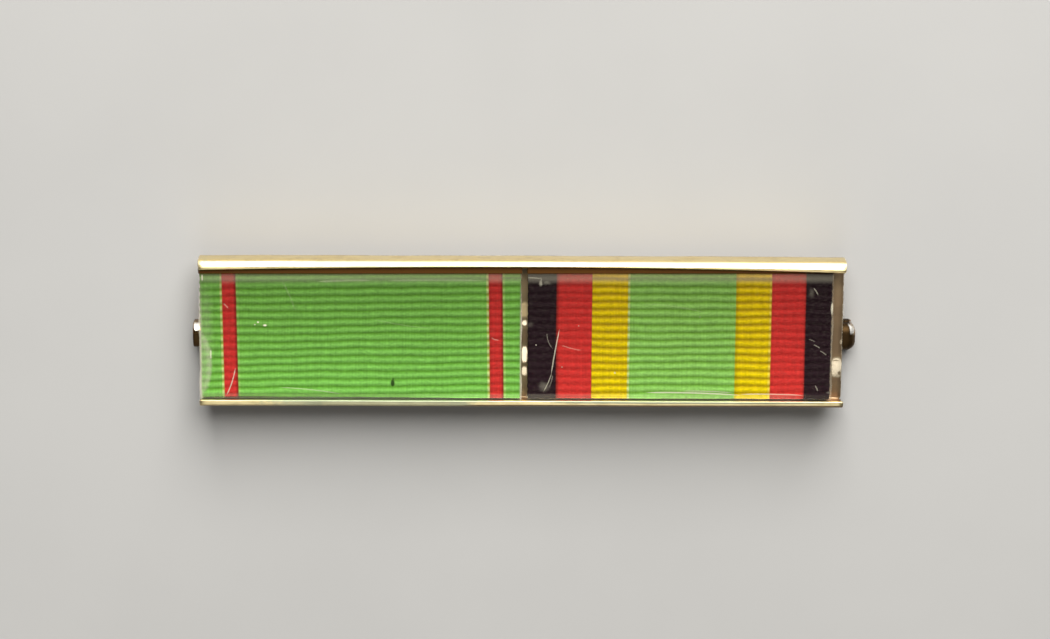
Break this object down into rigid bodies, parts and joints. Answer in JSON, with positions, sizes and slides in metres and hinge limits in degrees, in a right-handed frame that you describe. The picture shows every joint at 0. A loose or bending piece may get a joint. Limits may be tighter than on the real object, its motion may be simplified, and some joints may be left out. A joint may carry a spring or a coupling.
{
  "type": "ribbon bar",
  "caption": "Ribbon bar worn on a coat: a gilt brass rail folded round flat ribbon units under clear film, with a hinge, a needle and a hook on its back.",
  "frame": {"origin": "below the middle of the bar, in the plane that its hinge and hook rest on when it lies face up", "axes": "+X along the bar from its hook to its hinge, +Y across the bar, +Z out of the ribbons' face"},
  "size_m": [0.0524, 0.0118, 0.0045],
  "materials": {
    "gilt_brass": "polished gilt over brass, tarnished brown inside and dull on the outer walls",
    "needle_metal": "drawn and gilt, with a ground point",
    "ribbon_green": "ribbed weave, green with a narrow red stripe near each end",
    "ribbon_striped": "ribbed weave, striped black, red and yellow about a green middle",
    "clear_film": "clear glossy film with fine scratches"
  },
  "bodies": {
    "root": {"rail": "gilt_brass", "needle": "needle_metal", "ribbon_left": "ribbon_green", "ribbon_right": "ribbon_striped", "film_left": "clear_film", "film_right": "clear_film"}
  },
  "joints": []
}
